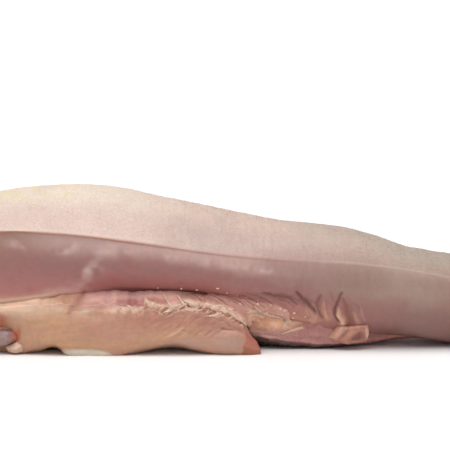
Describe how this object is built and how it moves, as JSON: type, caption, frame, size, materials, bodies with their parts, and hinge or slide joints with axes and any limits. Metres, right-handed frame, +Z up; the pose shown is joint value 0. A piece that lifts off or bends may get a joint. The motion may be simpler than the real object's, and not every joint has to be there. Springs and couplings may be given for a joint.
{
  "type": "beef tongue",
  "caption": "Whole raw ox tongue lying on its underside, with a cut root, trimmings beside the root, gathered folds at the frenulum and a tapered blade.",
  "frame": {"origin": "bottom centre of the bounding box, on the surface that the tongue rests on", "axes": "+X along the tongue from the cut root to the tip, +Z up out of the back of the tongue, and the side of the longer flap faces -Y"},
  "size_m": [0.3836, 0.0974, 0.0955],
  "materials": {
    "tongue_skin": "moist skin, matt and dotted with fine papillae on the back, smooth and slightly shiny on the sides",
    "trimmings": "wet peach muscle and fat with torn cream membranes",
    "membrane": "thin torn connective tissue, cream, satin",
    "cut_muscle": "wet cut muscle with pale fat between its bundles"
  },
  "bodies": {
    "root": {"beef_tongue": "tongue_skin"}
  },
  "joints": []
}
